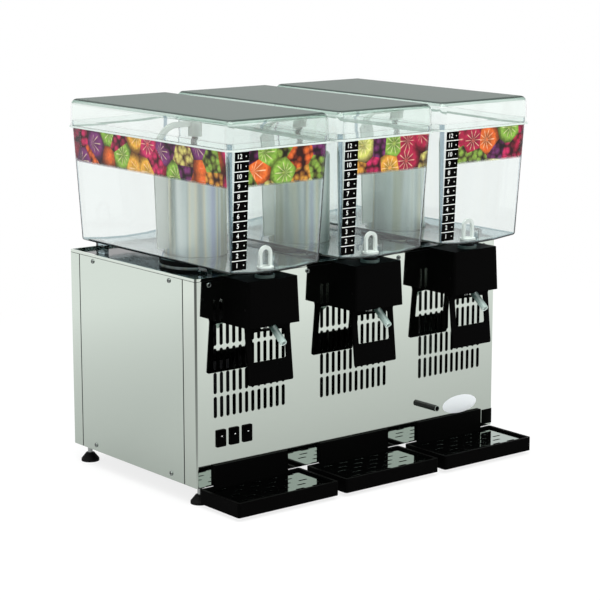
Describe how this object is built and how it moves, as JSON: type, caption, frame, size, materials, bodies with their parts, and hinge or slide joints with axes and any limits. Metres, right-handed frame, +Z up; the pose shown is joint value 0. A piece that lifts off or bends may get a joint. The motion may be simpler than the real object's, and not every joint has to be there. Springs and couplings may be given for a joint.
{
  "type": "juice dispenser",
  "caption": "Refrigerated countertop juice dispenser with clear tapered bowls, lids, stirrers, push-lever taps, drip trays and a polished steel cabinet.",
  "frame": {"origin": "on the bench, under the middle of the whole", "axes": "+X to the right along the row of bowls, +Y to the rear, +Z up; the taps face -Y"},
  "size_m": [0.6334, 0.4606, 0.6072],
  "materials": {
    "clear_plastic": "clear polished moulding",
    "lid_plastic": "clear grey moulding",
    "stainless_satin": "satin stainless steel",
    "shaft_steel": "ground stainless steel",
    "white_plastic": "moulded white plastic",
    "spout_plastic": "translucent white moulding",
    "black_plastic": "moulded black plastic, satin",
    "polished_steel": "mirror-polished stainless steel",
    "rubber": "moulded black rubber",
    "motor_grey": "dark grey paint",
    "zinc_steel": "bright zinc-plated steel",
    "switch_black": "moulded black plastic",
    "galvanised": "galvanised sheet",
    "mirror_panel": "mirror-polished stainless steel",
    "cover_steel": "bright stainless sheet",
    "deck_black": "black moulded deck",
    "drain_grey": "dark flexible tube",
    "compressor_black": "black enamel",
    "fin_aluminium": "bare fins",
    "fan_plastic": "moulded black plastic"
  },
  "bodies": {
    "cabinet": {"left_evaporator": "stainless_satin", "left_spout": "spout_plastic", "left_tap_housing": "black_plastic", "middle_evaporator": "stainless_satin", "middle_spout": "spout_plastic", "middle_tap_housing": "black_plastic", "right_evaporator": "stainless_satin", "right_spout": "spout_plastic", "right_tap_housing": "black_plastic", "bowl_gaskets": "rubber", "outlet_seals": "rubber", "stirrer_motors": "motor_grey", "lever_pins": "zinc_steel", "lever_springs": "zinc_steel", "switch_bodies": "switch_black", "tray_studs": "zinc_steel", "base_pan": "galvanised", "front_panel": "mirror_panel", "left_cover": "cover_steel", "right_cover": "cover_steel", "rear_panel": "cover_steel", "top_frame": "mirror_panel", "deck": "deck_black", "feet": "rubber", "foot_stems": "zinc_steel", "panel_screws": "zinc_steel", "drain_pipe": "drain_grey", "cable_gland": "switch_black", "compressor": "compressor_black", "compressor_mounts": "rubber", "condenser": "fin_aluminium", "fan_motor": "motor_grey"},
    "left_bowl": {"left_bowl": "clear_plastic"},
    "left_lid": {"left_lid": "lid_plastic"},
    "left_shaft": {"left_drive_shaft": "shaft_steel"},
    "left_stirrer": {"left_stirrer": "white_plastic"},
    "left_piston": {"left_tap_piston": "white_plastic"},
    "left_lever": {"left_tap_lever": "black_plastic"},
    "left_tray": {"left_drip_tray": "black_plastic"},
    "left_grille": {"left_drip_grille": "polished_steel"},
    "left_rocker": {"left_rocker": "black_plastic"},
    "middle_bowl": {"middle_bowl": "clear_plastic"},
    "middle_lid": {"middle_lid": "lid_plastic"},
    "middle_shaft": {"middle_drive_shaft": "shaft_steel"},
    "middle_stirrer": {"middle_stirrer": "white_plastic"},
    "middle_piston": {"middle_tap_piston": "white_plastic"},
    "middle_lever": {"middle_tap_lever": "black_plastic"},
    "middle_tray": {"middle_drip_tray": "black_plastic"},
    "middle_grille": {"middle_drip_grille": "polished_steel"},
    "middle_rocker": {"middle_rocker": "black_plastic"},
    "right_bowl": {"right_bowl": "clear_plastic"},
    "right_lid": {"right_lid": "lid_plastic"},
    "right_shaft": {"right_drive_shaft": "shaft_steel"},
    "right_stirrer": {"right_stirrer": "white_plastic"},
    "right_piston": {"right_tap_piston": "white_plastic"},
    "right_lever": {"right_tap_lever": "black_plastic"},
    "right_tray": {"right_drip_tray": "black_plastic"},
    "right_grille": {"right_drip_grille": "polished_steel"},
    "right_rocker": {"right_rocker": "black_plastic"},
    "fan": {"fan_rotor": "fan_plastic"}
  },
  "joints": [
    {"name": "left_bowl_lift", "type": "slide", "parent": "cabinet", "child": "left_bowl", "axis": [0, 0, 1], "range_m": [0, 0.2]},
    {"name": "left_lid_lift", "type": "slide", "parent": "left_bowl", "child": "left_lid", "axis": [0, 0, 1], "range_m": [0, 0.06]},
    {"name": "left_shaft_turn", "type": "hinge", "parent": "cabinet", "child": "left_shaft", "pos_m": [-0.212, 0.00875, 0.36], "axis": [0, 0, 1], "continuous": true},
    {"name": "left_stirrer_turn", "type": "hinge", "parent": "left_bowl", "child": "left_stirrer", "pos_m": [-0.212, 0.00875, 0.36], "axis": [0, 0, 1], "continuous": true},
    {"name": "left_lever_push", "type": "hinge", "parent": "cabinet", "child": "left_lever", "pos_m": [-0.212, -0.18325, 0.314], "axis": [1, 0, 0], "range_deg": [0, 15], "stiffness_Nm_per_rad": 0.3, "springref_deg": -11.46},
    {"name": "left_piston_lift", "type": "slide", "parent": "left_bowl", "child": "left_piston", "axis": [0, 0, 1], "range_m": [0, 0.004]},
    {"name": "left_tray_lift", "type": "slide", "parent": "cabinet", "child": "left_tray", "axis": [0, 0, 1], "range_m": [0, 0.009]},
    {"name": "left_grille_lift", "type": "slide", "parent": "left_tray", "child": "left_grille", "axis": [0, 0, 1], "range_m": [0, 0.04]},
    {"name": "left_rocker_tilt", "type": "hinge", "parent": "cabinet", "child": "left_rocker", "pos_m": [-0.2687, -0.12675, 0.104], "axis": [1, 0, 0], "range_deg": [-16, 0]},
    {"name": "middle_bowl_lift", "type": "slide", "parent": "cabinet", "child": "middle_bowl", "axis": [0, 0, 1], "range_m": [0, 0.2]},
    {"name": "middle_lid_lift", "type": "slide", "parent": "middle_bowl", "child": "middle_lid", "axis": [0, 0, 1], "range_m": [0, 0.06]},
    {"name": "middle_shaft_turn", "type": "hinge", "parent": "cabinet", "child": "middle_shaft", "pos_m": [0, 0.00875, 0.36], "axis": [0, 0, 1], "continuous": true},
    {"name": "middle_stirrer_turn", "type": "hinge", "parent": "middle_bowl", "child": "middle_stirrer", "pos_m": [0, 0.00875, 0.36], "axis": [0, 0, 1], "continuous": true},
    {"name": "middle_lever_push", "type": "hinge", "parent": "cabinet", "child": "middle_lever", "pos_m": [0, -0.18325, 0.314], "axis": [1, 0, 0], "range_deg": [0, 15], "stiffness_Nm_per_rad": 0.3, "springref_deg": -11.46},
    {"name": "middle_piston_lift", "type": "slide", "parent": "middle_bowl", "child": "middle_piston", "axis": [0, 0, 1], "range_m": [0, 0.004]},
    {"name": "middle_tray_lift", "type": "slide", "parent": "cabinet", "child": "middle_tray", "axis": [0, 0, 1], "range_m": [0, 0.009]},
    {"name": "middle_grille_lift", "type": "slide", "parent": "middle_tray", "child": "middle_grille", "axis": [0, 0, 1], "range_m": [0, 0.04]},
    {"name": "middle_rocker_tilt", "type": "hinge", "parent": "cabinet", "child": "middle_rocker", "pos_m": [-0.2432, -0.12675, 0.104], "axis": [1, 0, 0], "range_deg": [-16, 0]},
    {"name": "right_bowl_lift", "type": "slide", "parent": "cabinet", "child": "right_bowl", "axis": [0, 0, 1], "range_m": [0, 0.2]},
    {"name": "right_lid_lift", "type": "slide", "parent": "right_bowl", "child": "right_lid", "axis": [0, 0, 1], "range_m": [0, 0.06]},
    {"name": "right_shaft_turn", "type": "hinge", "parent": "cabinet", "child": "right_shaft", "pos_m": [0.212, 0.00875, 0.36], "axis": [0, 0, 1], "continuous": true},
    {"name": "right_stirrer_turn", "type": "hinge", "parent": "right_bowl", "child": "right_stirrer", "pos_m": [0.212, 0.00875, 0.36], "axis": [0, 0, 1], "continuous": true},
    {"name": "right_lever_push", "type": "hinge", "parent": "cabinet", "child": "right_lever", "pos_m": [0.212, -0.18325, 0.314], "axis": [1, 0, 0], "range_deg": [0, 15], "stiffness_Nm_per_rad": 0.3, "springref_deg": -11.46},
    {"name": "right_piston_lift", "type": "slide", "parent": "right_bowl", "child": "right_piston", "axis": [0, 0, 1], "range_m": [0, 0.004]},
    {"name": "right_tray_lift", "type": "slide", "parent": "cabinet", "child": "right_tray", "axis": [0, 0, 1], "range_m": [0, 0.009]},
    {"name": "right_grille_lift", "type": "slide", "parent": "right_tray", "child": "right_grille", "axis": [0, 0, 1], "range_m": [0, 0.04]},
    {"name": "right_rocker_tilt", "type": "hinge", "parent": "cabinet", "child": "right_rocker", "pos_m": [-0.2177, -0.12675, 0.104], "axis": [1, 0, 0], "range_deg": [-16, 0]},
    {"name": "fan_turn", "type": "hinge", "parent": "cabinet", "child": "fan", "pos_m": [-0.13, 0.13975, 0.138], "axis": [0, 1, 0], "continuous": true}
  ],
  "couplings": [
    {"joint": "left_stirrer_turn", "follows": "left_shaft_turn", "ratio": 1},
    {"joint": "left_piston_lift", "follows": "left_lever_push", "m_per_rad": 0.014324},
    {"joint": "middle_stirrer_turn", "follows": "middle_shaft_turn", "ratio": 1},
    {"joint": "middle_piston_lift", "follows": "middle_lever_push", "m_per_rad": 0.014324},
    {"joint": "right_stirrer_turn", "follows": "right_shaft_turn", "ratio": 1},
    {"joint": "right_piston_lift", "follows": "right_lever_push", "m_per_rad": 0.014324}
  ]
}
